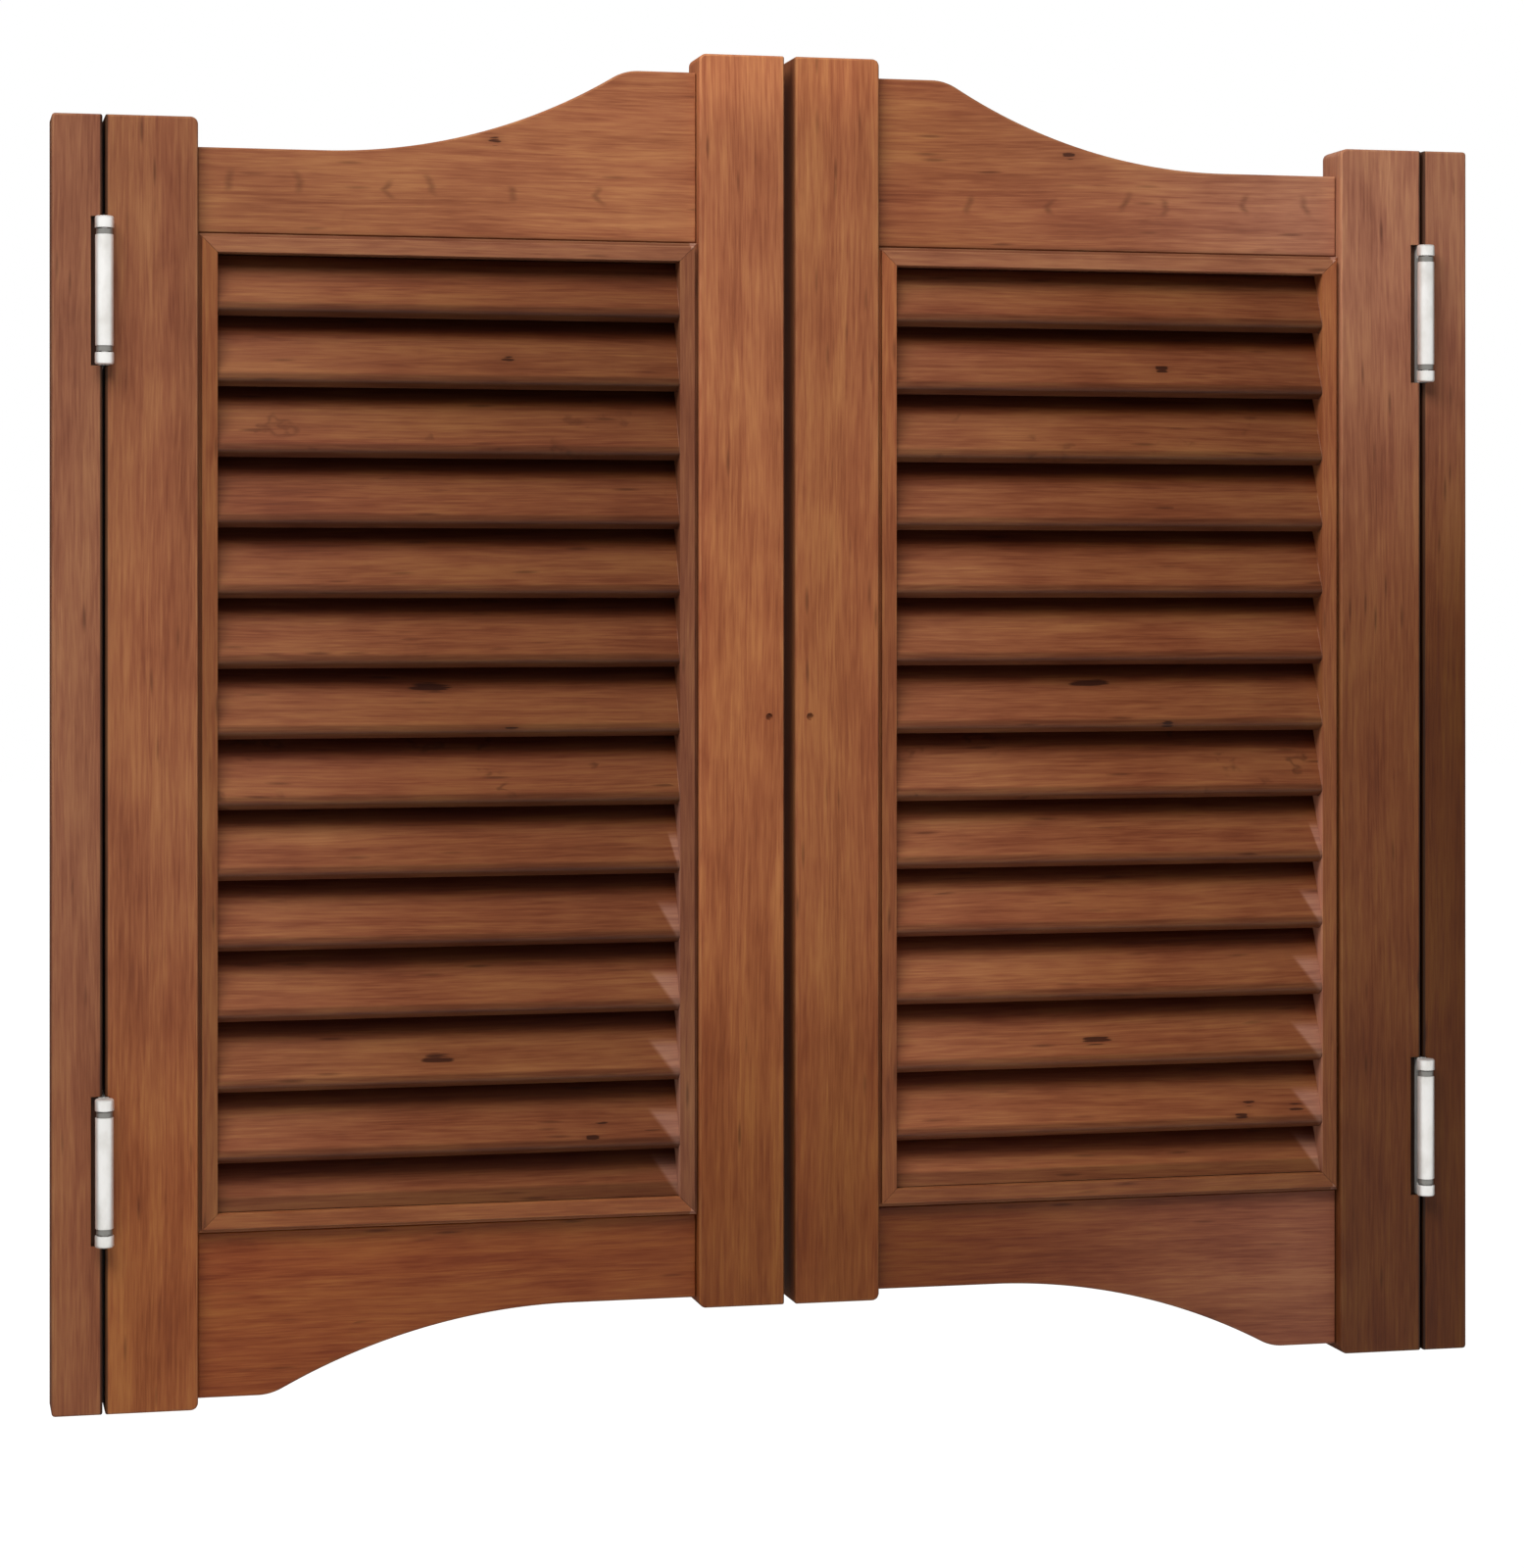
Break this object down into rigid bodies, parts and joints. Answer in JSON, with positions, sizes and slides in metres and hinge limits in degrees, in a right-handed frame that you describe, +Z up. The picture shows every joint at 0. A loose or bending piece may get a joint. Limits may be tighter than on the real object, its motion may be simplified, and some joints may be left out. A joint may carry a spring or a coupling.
{
  "type": "cafe swinging doors",
  "caption": "Louvred timber cafe swing doors with swept top and bottom rails, hung between jamb strips on double-action spring hinges, so each leaf swings both ways.",
  "frame": {"origin": "midway between the two jambs, at mid-thickness of the doors, level with the feet of the jambs", "axes": "+X across the pair to the right seen from the front, +Y from front to back through the doors, +Z up"},
  "size_m": [1, 0.062, 0.913],
  "materials": {
    "jamb_wood": "stained hardwood, satin varnish",
    "stile_wood": "stained hardwood, satin varnish",
    "rail_wood": "stained hardwood, satin varnish",
    "louver_wood": "stained hardwood, satin varnish",
    "slat_wood": "stained hardwood, satin varnish",
    "hinge_nickel": "satin nickel plate on steel"
  },
  "bodies": {
    "jambs": {"left_jamb": "jamb_wood", "right_jamb": "jamb_wood", "left_upper_jamb_leaf": "hinge_nickel", "left_lower_jamb_leaf": "hinge_nickel", "right_upper_jamb_leaf": "hinge_nickel", "right_lower_jamb_leaf": "hinge_nickel"},
    "left_webs": {"left_upper_web": "hinge_nickel", "left_lower_web": "hinge_nickel"},
    "left_door": {"left_hinge_stile": "stile_wood", "left_meeting_stile": "stile_wood", "left_top_rail": "rail_wood", "left_bottom_rail": "rail_wood", "left_louver_hinge_side": "louver_wood", "left_louver_meeting_side": "louver_wood", "left_louver_head": "louver_wood", "left_louver_sill": "louver_wood", "left_slat_01": "slat_wood", "left_slat_02": "slat_wood", "left_slat_03": "slat_wood", "left_slat_04": "slat_wood", "left_slat_05": "slat_wood", "left_slat_06": "slat_wood", "left_slat_07": "slat_wood", "left_slat_08": "slat_wood", "left_slat_09": "slat_wood", "left_slat_10": "slat_wood", "left_slat_11": "slat_wood", "left_slat_12": "slat_wood", "left_slat_13": "slat_wood", "left_slat_14": "slat_wood", "left_upper_door_leaf": "hinge_nickel", "left_lower_door_leaf": "hinge_nickel"},
    "right_webs": {"right_upper_web": "hinge_nickel", "right_lower_web": "hinge_nickel"},
    "right_door": {"right_hinge_stile": "stile_wood", "right_meeting_stile": "stile_wood", "right_top_rail": "rail_wood", "right_bottom_rail": "rail_wood", "right_louver_hinge_side": "louver_wood", "right_louver_meeting_side": "louver_wood", "right_louver_head": "louver_wood", "right_louver_sill": "louver_wood", "right_slat_01": "slat_wood", "right_slat_02": "slat_wood", "right_slat_03": "slat_wood", "right_slat_04": "slat_wood", "right_slat_05": "slat_wood", "right_slat_06": "slat_wood", "right_slat_07": "slat_wood", "right_slat_08": "slat_wood", "right_slat_09": "slat_wood", "right_slat_10": "slat_wood", "right_slat_11": "slat_wood", "right_slat_12": "slat_wood", "right_slat_13": "slat_wood", "right_slat_14": "slat_wood", "right_upper_door_leaf": "hinge_nickel", "right_lower_door_leaf": "hinge_nickel"}
  },
  "joints": [
    {"name": "left_front_barrel", "type": "hinge", "parent": "jambs", "child": "left_webs", "pos_m": [-0.466, -0.02475, 0.43], "axis": [0, 0, -1], "range_deg": [0, 90], "stiffness_Nm_per_rad": 5, "springref_deg": -22.92},
    {"name": "left_back_barrel", "type": "hinge", "parent": "left_webs", "child": "left_door", "pos_m": [-0.466, 0.02475, 0.43], "axis": [0, 0, -1], "range_deg": [-90, 0], "stiffness_Nm_per_rad": 5, "springref_deg": 22.92},
    {"name": "right_back_barrel", "type": "hinge", "parent": "jambs", "child": "right_webs", "pos_m": [0.466, 0.02475, 0.43], "axis": [0, 0, 1], "range_deg": [-90, 0], "stiffness_Nm_per_rad": 5, "springref_deg": 22.92},
    {"name": "right_front_barrel", "type": "hinge", "parent": "right_webs", "child": "right_door", "pos_m": [0.466, -0.02475, 0.43], "axis": [0, 0, 1], "range_deg": [0, 90], "stiffness_Nm_per_rad": 5, "springref_deg": -22.92}
  ]
}
